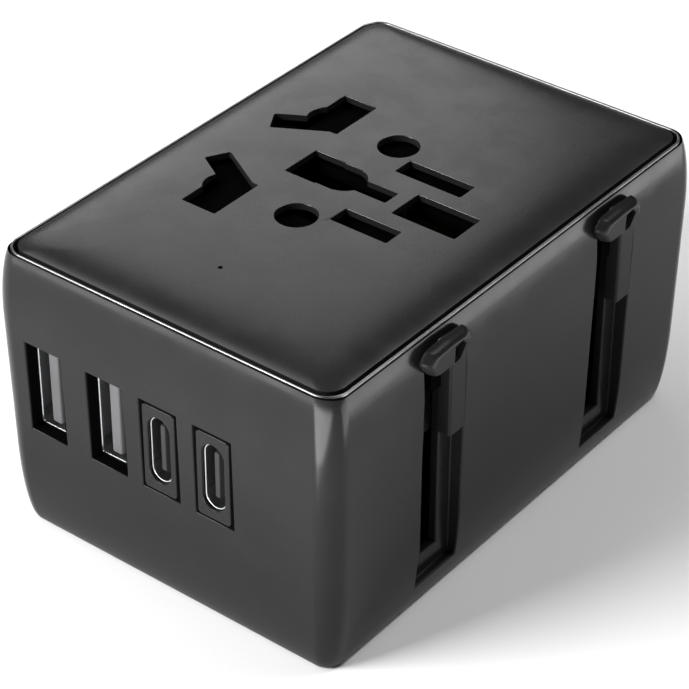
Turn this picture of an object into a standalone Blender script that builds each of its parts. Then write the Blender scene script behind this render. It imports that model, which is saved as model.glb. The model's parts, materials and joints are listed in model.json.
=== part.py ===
"""Universal travel adapter: a rounded block with sockets on top, USB ports on one end and three
sliders that push a plug each out of the base. Millimetres are turned into metres by MM. +Z is up
and the base is at z = 0. +X faces the two sliders that sit side by side, and -Y the USB ports."""

import math

import bmesh
import bpy
from mathutils import Matrix

MM = 0.001
GAP = 0.3

# Body
PANEL_TOP = 38.3
BODY_TOP = 37.3
HALF_X, HALF_Y = 24.42, 35.10
WIDEST_Z = 29.2
SHOULDER = (1.1, 8.6)  # inward reach and height of the curve above the widest level
SIDE_DRAFT = 0.96
FOOT = (1.24, 10.5)  # the same for the curve above the base
CORNER_RADIUS = 2.95
CAVITY = (21.6, 32.2)
LEDGE_Z = 36.0
COVER_TOP = 2.3
BOSS_AT = (18.9, 29.5)
BOSS_TOP = 11.0

# Top panel and its bright trim
PANEL_HALF = (22.75, 33.25)
TRIM_INNER = (22.95, 33.45)
TRIM_OUTER = (23.45, 33.95)
RECESS_HALF = (23.60, 34.10)
PANEL_ROLL = [(0.0, 37.45), (0.5, 37.72), (1.5, 37.95), (3.2, 38.15), (5.5, 38.26), (8.0, PANEL_TOP)]

# Socket pattern, by plug standard: where the pins of each plug go in
BRITISH_LINE_X, BRITISH_PAIR_Y = -10.9, 11.07
BRITISH_EARTH_X = 11.4
EURO_X, EURO_PAIR_Y = -1.04, 9.5
AMERICAN_X, AMERICAN_PAIR_Y = 6.45, 6.35
AUSTRALIAN_AT = (-13.1, 6.95)

# USB ports
PORT_CENTRES = (-17.0, -7.8, 0.0, 7.75)
PORT_Z = 20.75
PORT_WIDTH, PORT_HEIGHT = 5.45, 12.2
PORT_FACE_Y = -35.0
USB_A_HALF, USB_A_WALL, USB_A_Y = (2.75, 6.3), 0.35, (-31.9, -21.2)
USB_A_TONGUE_X, USB_A_TONGUE_Y, USB_A_TONGUE_HALF = (-1.5, 0.3), (-31.6, -21.9), 4.9
USB_C_HALF, USB_C_WALL, USB_C_Y = (1.6, 4.48), 0.28, (-34.15, -27.3)
USB_C_TONGUE_HALF, USB_C_TONGUE_Y = (0.35, 3.1), (-33.6, -27.9)
BEZEL_Y = (PORT_FACE_Y + 0.05, -32.4)

# Contacts under the sockets
CARRIER_Z = (25.3, 27.0)
STRIP_Z = (27.3, 28.0)
CLIP_Z = (27.5, 31.0)
LEAF = 0.5

# Plugs that slide out of the base
TRAVEL = 18.5
PIN_TIP, PIN_ROOT = 0.5, 21.0
CARRIAGE_Z = (21.3, 24.8)
RISER_TOP = 32.4
RISER_X = (18.2, 21.2)
SLIDER_PLACES = {"us_au": (1, -15.45), "eu": (1, 17.6), "uk": (-1, -1.6)}
HOOD_TOP = {"us_au": 36.8, "eu": 36.8, "uk": 33.4}
CHANNEL_HALF, CHANNEL_FLOOR, CHANNEL_Z = 3.75, 22.6, (3.2, 34.8)
SLOT_HALF, SLOT_Z = 1.4, (6.0, 33.4)
EURO_PIN_AT, EURO_PIN_RADIUS = (9.5, 17.6), 2.0
BRITISH_PIN_AT, BRITISH_EARTH_Y = (11.1, -13.2), 9.0
BLADE_AT, BLADE_HALF, BLADE_TURN = (6.35, -2.6), (0.75, 3.18), 30.0

FINISHES = {
    "shell_black": ((0.035, 0.035, 0.037), 0.42, 0.0),
    "panel_black": ((0.06, 0.06, 0.062), 0.30, 0.0),
    "trim_bright": ((0.55, 0.55, 0.56), 0.25, 1.0),
    "button_black": ((0.045, 0.045, 0.047), 0.38, 0.0),
    "carriage_black": ((0.02, 0.02, 0.02), 0.5, 0.0),
    "shutter_black": ((0.008, 0.008, 0.008), 0.5, 0.0),
    "tongue_grey": ((0.35, 0.35, 0.36), 0.45, 0.0),
    "brass": ((0.72, 0.52, 0.22), 0.28, 1.0),
    "plug_nickel": ((0.62, 0.62, 0.60), 0.25, 1.0),
    "steel": ((0.60, 0.61, 0.62), 0.22, 1.0),
    "board_green": ((0.02, 0.16, 0.07), 0.4, 0.0),
    "ferrite": ((0.03, 0.03, 0.032), 0.6, 0.0),
    "winding_tape": ((0.75, 0.60, 0.10), 0.45, 0.0),
    "capacitor_sleeve": ((0.02, 0.03, 0.09), 0.35, 0.0),
    "fuse_ceramic": ((0.80, 0.78, 0.72), 0.4, 0.0),
    "light_pipe": ((0.75, 0.78, 0.80), 0.15, 0.0),
}


# ---------------------------------------------------------------- scene and shapes


def clear_scene():
    for obj in list(bpy.data.objects):
        bpy.data.objects.remove(obj, do_unlink=True)


def collection(name):
    made = bpy.data.collections.new(name)
    bpy.context.scene.collection.children.link(made)
    return made


def material(slot, node):
    """A Principled BSDF of the slot's finish, one for each sub-part."""
    colour, roughness, metallic = FINISHES[slot]
    made = bpy.data.materials.new(f"{node}_{slot}")
    made.use_nodes = True
    shader = made.node_tree.nodes["Principled BSDF"]
    shader.inputs["Base Color"].default_value = (*colour, 1.0)
    shader.inputs["Roughness"].default_value = roughness
    shader.inputs["Metallic"].default_value = metallic
    return made


def finish(obj, slot):
    """Puts a shape among the parts, with its material."""
    obj.data.materials.clear()
    obj.data.materials.append(material(slot, obj.name))
    PARTS.objects.link(obj)
    return obj


def object_from(mesh, name):
    data = bpy.data.meshes.new(name)
    bmesh.ops.recalc_face_normals(mesh, faces=mesh.faces)
    mesh.to_mesh(data)
    mesh.free()
    return bpy.data.objects.new(name, data)


def box(name, low, high):
    sizes = [b - a for a, b in zip(low, high)]
    middle = [(a + b) / 2 for a, b in zip(low, high)]
    mesh = bmesh.new()
    bmesh.ops.create_cube(mesh, size=MM, matrix=Matrix.Diagonal((*sizes, 1)))
    made = object_from(mesh, name)
    made.location = [value * MM for value in middle]
    return made


def cylinder(name, radius, start, end, segments=16):
    """A cylinder between two points that differ along one axis only."""
    axis = max(range(3), key=lambda i: abs(end[i] - start[i]))
    turn = (Matrix.Rotation(math.pi / 2, 4, "Y"), Matrix.Rotation(math.pi / 2, 4, "X"), Matrix())[axis]
    mesh = bmesh.new()
    bmesh.ops.create_cone(
        mesh,
        cap_ends=True,
        segments=segments,
        radius1=radius * MM,
        radius2=radius * MM,
        depth=abs(end[axis] - start[axis]) * MM,
        matrix=turn,
    )
    made = object_from(mesh, name)
    made.location = [(a + b) / 2 * MM for a, b in zip(start, end)]
    shade_round(made)
    return made


def shade_round(obj):
    obj.data.shade_smooth()
    obj.data.set_sharp_from_angle(angle=math.radians(35))


def prism(name, outlines, low, high):
    """Flat outlines raised from low to high: the first is solid and those inside it are open."""
    curve = bpy.data.curves.new(name, "CURVE")
    curve.dimensions = "2D"
    curve.fill_mode = "BOTH"
    curve.extrude = (high - low) / 2 * MM
    for outline in outlines:
        spline = curve.splines.new("POLY")
        spline.points.add(len(outline) - 1)
        for point, (x, y) in zip(spline.points, outline):
            point.co = (x * MM, y * MM, 0, 1)
        spline.use_cyclic_u = True
    guide = bpy.data.objects.new(name + "_curve", curve)
    guide.location.z = (low + high) / 2 * MM
    bpy.context.scene.collection.objects.link(guide)
    bpy.context.view_layer.update()
    graph = bpy.context.evaluated_depsgraph_get()
    data = bpy.data.meshes.new_from_object(guide.evaluated_get(graph))
    made = bpy.data.objects.new(name, data)
    made.matrix_world = guide.matrix_world
    bpy.data.objects.remove(guide)
    mesh = bmesh.new()
    mesh.from_mesh(data)
    bmesh.ops.remove_doubles(mesh, verts=mesh.verts, dist=1e-6)
    bmesh.ops.recalc_face_normals(mesh, faces=mesh.faces)
    mesh.to_mesh(data)
    mesh.free()
    return made


def loft(name, sections):
    """Closed sections of equal point counts, each (z, outline), joined from the lowest up."""
    mesh = bmesh.new()
    rings = [[mesh.verts.new((x * MM, y * MM, z * MM)) for x, y in outline] for z, outline in sections]
    for lower, upper in zip(rings, rings[1:]):
        for i, corner in enumerate(lower):
            j = (i + 1) % len(lower)
            mesh.faces.new((corner, lower[j], upper[j], upper[i]))
    mesh.faces.new(list(reversed(rings[0])))
    mesh.faces.new(rings[-1])
    made = object_from(mesh, name)
    shade_round(made)
    return made


def turned(name, profile, at, segments=16):
    """A profile of (radius, z) from the top down, turned about a vertical axis at (x, y)."""
    mesh = bmesh.new()
    corners = [mesh.verts.new((radius * MM, 0, z * MM)) for radius, z in profile]
    for upper, lower in zip(corners, corners[1:]):
        mesh.edges.new((upper, lower))
    data = bpy.data.meshes.new(name)
    mesh.to_mesh(data)
    mesh.free()
    made = bpy.data.objects.new(name, data)
    made.location = (at[0] * MM, at[1] * MM, 0)
    screw = made.modifiers.new("Turn", "SCREW")
    screw.steps = screw.render_steps = segments
    screw.use_merge_vertices = True
    screw.merge_threshold = 1e-5
    screw.use_smooth_shade = True
    return made


def coil(name, start_x, end_x, at, radius, wire, turns):
    """A spring along X, as a swept wire with closed ends."""
    curve = bpy.data.curves.new(name, "CURVE")
    curve.dimensions = "3D"
    curve.bevel_depth = wire * MM
    curve.bevel_resolution = 0
    curve.use_fill_caps = True
    count = turns * 8
    spline = curve.splines.new("POLY")
    spline.points.add(count)
    for i, point in enumerate(spline.points):
        angle = 2 * math.pi * i / 8
        x = start_x + (end_x - start_x) * i / count
        y, z = at[0] + radius * math.cos(angle), at[1] + radius * math.sin(angle)
        point.co = (x * MM, y * MM, z * MM, 1)
    return bpy.data.objects.new(name, curve)


def rounded_rectangle(half_x, half_y, radius, steps=5):
    points = []
    for quadrant, (side_x, side_y) in enumerate(((1, 1), (-1, 1), (-1, -1), (1, -1))):
        centre = (side_x * (half_x - radius), side_y * (half_y - radius))
        for step in range(steps + 1):
            angle = math.radians(90 * (quadrant + step / steps))
            points.append((centre[0] + radius * math.cos(angle), centre[1] + radius * math.sin(angle)))
    return points


def circle(x, y, radius, segments=20):
    angles = [2 * math.pi * i / segments for i in range(segments)]
    return [(x + radius * math.cos(a), y + radius * math.sin(a)) for a in angles]


def rectangle(x, y, half_x, half_y, turn=0.0):
    """A rectangle about (x, y), turned by degrees."""
    cos, sin = math.cos(math.radians(turn)), math.sin(math.radians(turn))
    corners = ((-half_x, -half_y), (half_x, -half_y), (half_x, half_y), (-half_x, half_y))
    return [(x + cx * cos - cy * sin, y + cx * sin + cy * cos) for cx, cy in corners]


def swept_blade(x, y, half_thick, half_long, side, steps=3):
    """The outline that a blade sweeps as it turns by BLADE_TURN: two sectors that meet at the middle."""
    reach = math.hypot(half_thick, half_long)
    spread = math.degrees(math.atan2(half_thick, half_long))
    turns = (-BLADE_TURN, 0) if side > 0 else (0, BLADE_TURN)
    waist = half_thick / math.cos(math.radians(BLADE_TURN / 2))
    outline = []
    for end in (90, 270):
        first, last = end + turns[0] - spread, end + turns[1] + spread
        for step in range(steps + 1):
            angle = math.radians(first + (last - first) * step / steps)
            outline.append((x + reach * math.cos(angle), y + reach * math.sin(angle)))
        angle = math.radians(end + 90 + sum(turns) / 2)
        outline.append((x + waist * math.cos(angle), y + waist * math.sin(angle)))
    return outline


def boolean(target, tools, operation="DIFFERENCE"):
    for tool in tools:
        CUTTERS.objects.link(tool)
        tool.hide_render = True
        tool.display_type = "WIRE"
        step = target.modifiers.new(tool.name, "BOOLEAN")
        step.operation = operation
        step.solver = "EXACT"
        step.object = tool
    return target


def union(target, tools):
    return boolean(target, tools, "UNION")


def rounded(obj, width, segments=2):
    bevel = obj.modifiers.new("Bevel", "BEVEL")
    bevel.width = width * MM
    bevel.segments = segments
    bevel.limit_method = "ANGLE"
    bevel.angle_limit = math.radians(40)
    return obj


# ---------------------------------------------------------------- casing


def side_inset(z):
    """How far the side stands in from the widest level at a height."""
    if z > WIDEST_Z:
        reach, height = SHOULDER
        return reach * (1 - math.sqrt(1 - ((z - WIDEST_Z) / height) ** 2))
    drafted = (WIDEST_Z - z) * math.tan(math.radians(SIDE_DRAFT))
    reach, height = FOOT
    if z >= height:
        return drafted
    return drafted + reach * (1 - math.sqrt(1 - ((height - z) / (height + 0.1)) ** 2))


def port_boxes(depth):
    for number, x in enumerate(PORT_CENTRES):
        low = (x - PORT_WIDTH / 2, PORT_FACE_Y - 2, PORT_Z - PORT_HEIGHT / 2)
        high = (x + PORT_WIDTH / 2, PORT_FACE_Y + depth, PORT_Z + PORT_HEIGHT / 2)
        yield box(f"cut_port_{number}", low, high)


def slider_cuts():
    for name, (side, y) in SLIDER_PLACES.items():
        channel_x = sorted((side * CHANNEL_FLOOR, side * (HALF_X + 2)))
        slot_x = sorted((side * (CAVITY[0] - 1), side * (HALF_X + 2)))
        yield box(
            f"cut_{name}_channel",
            (channel_x[0], y - CHANNEL_HALF, CHANNEL_Z[0]),
            (channel_x[1], y + CHANNEL_HALF, CHANNEL_Z[1]),
        )
        yield box(
            f"cut_{name}_slot",
            (slot_x[0], y - SLOT_HALF, SLOT_Z[0]),
            (slot_x[1], y + SLOT_HALF, SLOT_Z[1]),
        )


def corners():
    return [(sx * BOSS_AT[0], sy * BOSS_AT[1]) for sx in (1, -1) for sy in (1, -1)]


def make_housing():
    heights = (0, 0.4, 1.2, 3.0, 6.0, FOOT[1], WIDEST_Z, 32.0, 34.2, 35.7, 36.6, BODY_TOP)
    sections = []
    for z in heights:
        inset = side_inset(z)
        radius = CORNER_RADIUS - inset / 2
        sections.append((z, rounded_rectangle(HALF_X - inset, HALF_Y - inset, radius)))
    housing = loft("main_housing", sections)
    cavity = prism("cut_cavity", [rounded_rectangle(*CAVITY, 1.6, 3)], -1, LEDGE_Z + 1)
    recess = prism("cut_recess", [rounded_rectangle(*RECESS_HALF, 2.4)], LEDGE_Z, BODY_TOP + 1)
    boolean(housing, [cavity, recess, *port_boxes(6), *slider_cuts()])
    bosses, pilots = [], []
    for number, (x, y) in enumerate(corners()):
        bosses.append(cylinder(f"add_boss_{number}", 3.0, (x, y, COVER_TOP + GAP), (x, y, BOSS_TOP)))
        pilots.append(cylinder(f"cut_pilot_{number}", 1.2, (x, y, 1.5), (x, y, BOSS_TOP - 1), 12))
    union(housing, bosses)
    boolean(housing, pilots)
    finish(housing, "shell_black")


def make_bottom_cover():
    openings = [rectangle(0, BRITISH_EARTH_Y, 2.4, 4.4)]
    for side in (1, -1):
        openings.append(circle(side * EURO_PIN_AT[0], EURO_PIN_AT[1], EURO_PIN_RADIUS + 0.4, 20))
        openings.append(rectangle(side * BRITISH_PIN_AT[0], BRITISH_PIN_AT[1], 3.6, 2.4))
        x, y = side * BLADE_AT[0], BLADE_AT[1]
        openings.append(swept_blade(x, y, BLADE_HALF[0] + 0.35, BLADE_HALF[1] + 0.4, side))
    openings += [circle(x, y, 1.3, 12) for x, y in corners()]
    plate = rounded_rectangle(CAVITY[0] - 0.25, CAVITY[1] - 0.25, 1.4, 3)
    cover = prism("bottom_cover", [plate], 0, COVER_TOP)
    tools = [prism(f"cut_cover_{i}", [outline], -1, COVER_TOP + 1) for i, outline in enumerate(openings)]
    for number, (x, y) in enumerate(corners()):
        tools.append(cylinder(f"cut_screw_sink_{number}", 2.2, (x, y, -1), (x, y, 1.4)))
    finish(boolean(cover, tools), "shell_black")


def make_screws():
    """Pan head down in the cover's sink, shank up into the boss."""
    shank = [(0, 8.4), (0.55, 8.4), (0.95, 7.6), (0.95, 1.25)]
    head = [(2.0, 1.25), (2.05, 0.7), (1.6, 0.25), (0, 0.2)]
    for number, (x, y) in enumerate(corners(), 1):
        finish(turned(f"cover_screw_{number}", shank + head, (x, y), 12), "steel")


# ---------------------------------------------------------------- top panel


def socket_cutters(low, high):
    """Every pin's opening in the panel, from low to high."""
    shapes = []
    for side in (1, -1):
        shapes.append(rectangle(BRITISH_LINE_X, side * BRITISH_PAIR_Y, 2.4, 3.87))
        shapes.append(circle(-11.5, side * EURO_PAIR_Y, 2.6, 20))
        shapes.append(rectangle(*(AUSTRALIAN_AT[0], side * AUSTRALIAN_AT[1]), 3.9, 1.6, side * 30))
        shapes.append(circle(EURO_X, side * EURO_PAIR_Y, 2.5, 24))
    shapes.append(rectangle(AMERICAN_X - 0.1, -AMERICAN_PAIR_Y, 3.95, 1.45))
    shapes.append(rectangle(AMERICAN_X + 0.1, AMERICAN_PAIR_Y, 4.6, 1.45))
    shapes.append(rectangle(BRITISH_EARTH_X, 0, 4.35, 2.5))
    shapes.append(rectangle(-5.9, 0, 2.2, 2.85))
    shapes.append(circle(EURO_X - 0.5, 0, 2.6, 24))
    shapes.append(rectangle(-0.2, 0, 5.35, 1.25))
    shapes.append(rectangle(-3.0, 0, 1.9, 2.7))
    for number, shape in enumerate(shapes):
        yield prism(f"cut_socket_{number}", [shape], low, high)


def make_top_panel():
    sections = [(LEDGE_Z + GAP, rounded_rectangle(*PANEL_HALF, 2.3))]
    for inset, z in PANEL_ROLL:
        half_x, half_y = PANEL_HALF[0] - inset, PANEL_HALF[1] - inset
        sections.append((z, rounded_rectangle(half_x, half_y, 2.3 + inset / 2)))
    panel = loft("top_socket_panel", sections)
    pocket = prism("cut_panel_pocket", [rounded_rectangle(20.6, 31.0, 1.5, 2)], LEDGE_Z - 1, 37.1)
    light_hole = cylinder("cut_light_hole", 0.3, (-0.9, -22.85, 36), (-0.9, -22.85, 39), 8)
    boolean(panel, [pocket, *socket_cutters(36.5, 39.5), light_hole])
    finish(panel, "panel_black")


def make_trim_ring():
    outer = rounded_rectangle(*TRIM_OUTER, 2.7)
    inner = rounded_rectangle(*TRIM_INNER, 2.3)
    finish(prism("trim_ring", [outer, inner], LEDGE_Z + 0.2, 37.6), "trim_bright")


def make_light_pipe():
    profile = [(0, 36.9), (0.8, 36.9), (0.8, 34.0), (1.4, 34.0), (1.4, 32.6), (0, 32.6)]
    finish(turned("led_light_pipe", profile, (-0.9, -22.85), 12), "light_pipe")


# ---------------------------------------------------------------- sockets inside


def make_shutter():
    """A sliding plate whose windows stand 5 mm to -X of the pins' ways until a plug pushes it over."""
    shutter = prism("safety_shutter", [rounded_rectangle(16.25, 16.2, 1.0, 2)], 35.6, 36.8)
    for vertex in shutter.data.vertices:
        vertex.co.x -= 1.75 * MM
    windows = [box("cut_shutter_earth", (-13.1, -2.6, 35), (20, 2.6, 38))]
    for side in (1, -1):
        for label, x, y, half_x, half_y in (
            ("british", -16.2, 11.1, 2.6, 3.5),
            ("euro", -6.04, 9.5, 2.5, 2.6),
            ("american", 1.4, 6.35, 3.4, 1.1),
        ):
            low = (x - half_x, side * y - half_y, 35)
            high = (x + half_x, side * y + half_y, 38)
            windows.append(box(f"cut_shutter_{label}_{side}", low, high))
    finish(boolean(shutter, windows), "shutter_black")
    finish(coil("shutter_spring", 14.0, 17.2, (8.0, 34.2), 0.75, 0.14, 5), "steel")


def make_contact_carrier():
    """Insulating tray under the contacts, with a rail along each side that carries the shutter."""
    carrier = prism("contact_carrier", [rounded_rectangle(17.4, 17.4, 1.2, 2)], *CARRIER_Z)
    rails = []
    for side in (1, -1):
        near, far = sorted((side * 15.7, side * 17.1))
        rails.append(box(f"add_rail_{side}", (-15.0, near, 26.5), (15.0, far, 35.25)))
    finish(union(carrier, rails), "carriage_black")


def clip(prefix, x, y, half_gap, half_long, along):
    """Two upright leaves either side of a pin. along says which way the leaves run."""
    for number, side in enumerate((1, -1)):
        near, far = sorted((side * half_gap, side * (half_gap + LEAF)))
        if along == "Y":
            low, high = (x + near, y - half_long), (x + far, y + half_long)
        else:
            low, high = (x - half_long, y + near), (x + half_long, y + far)
        yield box(f"add_{prefix}_{number}", (*low, CLIP_Z[0]), (*high, CLIP_Z[1]))


def make_contacts():
    for name, side in (("live_contact", 1), ("neutral_contact", -1)):
        outline = [(-14.5, 8.2), (-14.5, 14.2), (-6.5, 14.2), (-6.5, 12.6), (9.6, 12.6)]
        outline += [(9.6, 4.4), (2.6, 4.4), (2.6, 7.2), (-6.5, 7.2), (-6.5, 8.2)]
        strip = prism(name, [[(x, side * y) for x, y in outline]], *STRIP_Z)
        leaves = [
            *clip(name + "_british", BRITISH_LINE_X, side * BRITISH_PAIR_Y, 2.05, 2.6, "Y"),
            *clip(name + "_euro", EURO_X, side * EURO_PAIR_Y, 2.05, 1.7, "Y"),
            *clip(name + "_american", AMERICAN_X - 0.3, side * AMERICAN_PAIR_Y, 0.85, 2.4, "X"),
        ]
        finish(union(strip, leaves), "brass")
    base = prism("earth_contact", [rectangle(4.2, 0, 10.8, 2.85)], *STRIP_Z)
    leaves = [
        *clip("earth_british", BRITISH_EARTH_X, 0, 2.2, 3.4, "X"),
        *clip("earth_american", -3.6, 0, 2.2, 1.8, "X"),
    ]
    finish(union(base, leaves), "brass")


# ---------------------------------------------------------------- USB end


def tube_along_y(name, half_x, half_z, radius, wall, start_y, end_y, x):
    """A rectangular or round-ended tube along Y about (x, PORT_Z), closed at the back."""
    outer = prism(name, [rounded_rectangle(half_x, half_z, radius, 3)], -end_y, -start_y)
    inner_outline = rounded_rectangle(half_x - wall, half_z - wall, max(radius - wall, 0.1), 3)
    inner = prism("cut_" + name, [inner_outline], wall - end_y, 1 - start_y)
    for obj in (outer, inner):
        lay_along_y(obj, x)
    return boolean(outer, [inner])


def lay_along_y(obj, x):
    """Turns a shape raised in Z so that its height runs towards -Y at the port's centre."""
    shift = Matrix.Translation((x * MM, 0, PORT_Z * MM))
    obj.data.transform(shift @ Matrix.Rotation(math.pi / 2, 4, "X") @ obj.matrix_world)
    obj.matrix_world = Matrix()


def make_usb_a(number, x):
    shell = tube_along_y(f"usb_a_shell_{number}", *USB_A_HALF, 0.5, USB_A_WALL, *USB_A_Y, x)
    finish(shell, "steel")
    tongue = box(
        f"usb_a_tongue_{number}",
        (x + USB_A_TONGUE_X[0], USB_A_TONGUE_Y[0], PORT_Z - USB_A_TONGUE_HALF),
        (x + USB_A_TONGUE_X[1], USB_A_TONGUE_Y[1], PORT_Z + USB_A_TONGUE_HALF),
    )
    finish(rounded(tongue, 0.25, 1), "tongue_grey")


def make_usb_c(number, x):
    """An insert whose mouth is a narrow lip in front of the metal shell."""

    def block(label, half_x, half_z, y_range):
        low = (x - half_x, y_range[0], PORT_Z - half_z)
        return box(f"{label}_{number}", low, (x + half_x, y_range[1], PORT_Z + half_z))

    def slot(label, margin, low, high):
        half_x, half_z = USB_C_HALF[0] + margin, USB_C_HALF[1] + margin
        shape = prism(f"{label}_{number}", [rounded_rectangle(half_x, half_z, half_x - 0.01, 5)], low, high)
        lay_along_y(shape, x)
        return shape

    bezel = block("usb_c_bezel", PORT_WIDTH / 2 - GAP, PORT_HEIGHT / 2 - GAP, BEZEL_Y)
    mouth = slot("cut_usb_c_mouth", -0.1, -BEZEL_Y[1] - 2, -BEZEL_Y[0] + 2)
    seat = slot("cut_usb_c_seat", 0.25, -BEZEL_Y[1] - 2, -USB_C_Y[0] + GAP)
    finish(boolean(bezel, [mouth, seat]), "shell_black")
    shell = tube_along_y(
        f"usb_c_shell_{number}", *USB_C_HALF, USB_C_HALF[0] - 0.01, USB_C_WALL, *USB_C_Y, x
    )
    finish(shell, "steel")
    finish(block("usb_c_tongue", *USB_C_TONGUE_HALF, USB_C_TONGUE_Y), "tongue_grey")


def make_usb_board():
    board = box("usb_board", (-20.9, -20.9, 4.0), (12.6, -19.7, 30.0))
    finish(board, "board_green")
    for number, x in enumerate((-11.4, -2.4), 1):
        can = cylinder(f"output_capacitor_{number}", 4.0, (x, -31.5, 8.3), (x, -21.2, 8.3), 20)
        finish(can, "capacitor_sleeve")
    choke = cylinder("output_choke", 3.4, (7.0, -27.0, 8.3), (7.0, -21.2, 8.3), 20)
    hole = cylinder("cut_choke", 1.3, (7.0, -28.0, 8.3), (7.0, -23.0, 8.3), 12)
    finish(boolean(choke, [hole]), "ferrite")


# ---------------------------------------------------------------- charger and fuse


def make_charger():
    board = box("charger_board", (-20.6, 30.6, 12.0), (20.6, 31.8, 34.5))
    finish(board, "board_green")
    core = box("transformer_core", (-6.5, 23.6, 14.0), (6.5, 30.3, 27.0))
    window = box("cut_core", (-4.2, 22.5, 17.0), (4.2, 31.0, 24.0))
    finish(boolean(core, [window]), "ferrite")
    winding = box("transformer_winding", (-3.9, 23.0, 17.3), (3.9, 30.2, 23.7))
    finish(rounded(winding, 0.8, 2), "winding_tape")
    bulk = cylinder("input_capacitor", 4.0, (13.5, 30.3, 20.0), (13.5, 22.8, 20.0), 20)
    finish(bulk, "capacitor_sleeve")
    inductor = cylinder("line_inductor", 3.0, (-11.5, 30.3, 17.0), (-11.5, 24.5, 17.0), 16)
    finish(inductor, "ferrite")


def make_fuse():
    """Ceramic cartridge with a metal cap at each end, in two clips on the charger's board."""
    finish(cylinder("fuse_body", 2.4, (-8.0, 27.6, 30.8), (8.0, 27.6, 30.8), 16), "fuse_ceramic")
    for number, side in enumerate((-1, 1), 1):
        ends = sorted((side * 8.3, side * 11.0))
        cap = cylinder(f"fuse_cap_{number}", 2.55, (ends[0], 27.6, 30.8), (ends[1], 27.6, 30.8), 16)
        finish(cap, "steel")


# ---------------------------------------------------------------- sliding plugs


def make_slider(name):
    """Outer piece that a thumb pushes: a hood over the channel, a skirt in it and a stem through the slot."""
    side, y = SLIDER_PLACES[name]
    top = HOOD_TOP[name]

    def block(label, low, high):
        near, far = sorted((side * low[0], side * high[0]))
        return box(label, (near, y + low[1], low[2]), (far, y + high[1], high[2]))

    hood = rounded(block(f"{name}_slider", (24.8, -4.6, top - 4.4), (26.2, 4.6, top)), 0.5, 2)
    extras = [
        block(f"add_{name}_neck", (22.9, -3.4, top - 6.2), (25.3, 3.4, top - 2.4)),
        block(f"add_{name}_skirt", (22.9, 1.25, 22.2), (24.5, 3.4, top - 5.8)),
        block(f"add_{name}_stem", (21.5, -1.1, 28.6), (23.6, 1.1, 32.6)),
    ]
    union(hood, extras)
    scoop_x, scoop_z = side * 26.6, top - 4.6
    scoop = (scoop_x, y - 2.6, scoop_z), (scoop_x, y + 2.6, scoop_z)
    thumb = cylinder(f"cut_{name}_thumb", 1.7, *scoop, 16)
    finish(boolean(hood, [thumb]), "button_black")


def riser(name):
    side, y = SLIDER_PLACES[name]
    near, far = sorted((side * RISER_X[0], side * RISER_X[1]))
    return box(f"add_{name}_riser", (near, y - 1.5, CARRIAGE_Z[0] + 0.5), (far, y + 1.5, RISER_TOP))


def make_euro_plug():
    outline = [(-13.0, 14.1), (RISER_X[1], 14.1), (RISER_X[1], 21.1), (-13.0, 21.1)]
    finish(union(prism("eu_carriage", [outline], *CARRIAGE_Z), [riser("eu")]), "carriage_black")
    radius = EURO_PIN_RADIUS
    profile = [(0, PIN_ROOT), (radius, PIN_ROOT), (radius, 1.3), (1.7, 0.75), (1.0, PIN_TIP), (0, PIN_TIP)]
    for number, side in enumerate((-1, 1), 1):
        pin = turned(f"eu_pin_{number}", profile, (side * EURO_PIN_AT[0], EURO_PIN_AT[1]), 16)
        finish(pin, "plug_nickel")


def flat_pin(name, x, y, half_x, half_y):
    pin = box(name, (x - half_x, y - half_y, PIN_TIP), (x + half_x, y + half_y, PIN_ROOT))
    finish(rounded(pin, 0.5, 1), "brass")


def make_british_plug():
    left, right, back, front, bar_2 = -17.6, 15.5, -16.6, -9.8, (4.6, 13.4)
    arm_y = SLIDER_PLACES["uk"][1]
    outline = [(left, back), (right, back), (right, front), (-14.8, front), (-14.8, bar_2[0])]
    outline += [(5.0, bar_2[0]), (5.0, bar_2[1]), (left, bar_2[1]), (left, arm_y + 1.5)]
    outline += [(-RISER_X[1], arm_y + 1.5), (-RISER_X[1], arm_y - 1.5), (left, arm_y - 1.5)]
    finish(union(prism("uk_carriage", [outline], *CARRIAGE_Z), [riser("uk")]), "carriage_black")
    x, y = BRITISH_PIN_AT
    flat_pin("uk_live_pin", -x, y, 3.175, 2.0)
    flat_pin("uk_neutral_pin", x, y, 3.175, 2.0)
    flat_pin("uk_earth_pin", 0, BRITISH_EARTH_Y, 2.0, 4.0)


def make_american_plug():
    """The blades turn about their own middles, from the American to the Australian angle."""
    riser_y = SLIDER_PLACES["us_au"][1]
    outline = [(-13.9, -9.2), (RISER_X[0], -9.2), (RISER_X[0], riser_y - 1.5), (RISER_X[1], riser_y - 1.5)]
    outline += [(RISER_X[1], -2.0), (13.9, -2.0), (13.9, 4.0), (-13.9, 4.0)]
    carriage = union(prism("us_au_carriage", [outline], *CARRIAGE_Z), [riser("us_au")])
    seats, low = [], CARRIAGE_Z[0]
    for number, side in enumerate((-1, 1), 1):
        x, y = side * BLADE_AT[0], BLADE_AT[1]
        seats.append(cylinder(f"cut_blade_seat_{number}", 4.0, (x, y, low - 1), (x, y, low + 1.5), 24))
        root = cylinder(f"us_au_blade_{number}", 3.7, (0, 0, low - 0.1), (0, 0, low + 1.2), 24)
        root.data.transform(Matrix.Translation(root.location))
        root.location = (x * MM, y * MM, 0)
        blade = box(
            f"add_blade_{number}",
            (x - BLADE_HALF[0], y - BLADE_HALF[1], PIN_TIP),
            (x + BLADE_HALF[0], y + BLADE_HALF[1], low + 0.6),
        )
        finish(union(root, [rounded(blade, 0.25, 1)]), "plug_nickel")
    finish(boolean(carriage, seats), "carriage_black")


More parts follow.
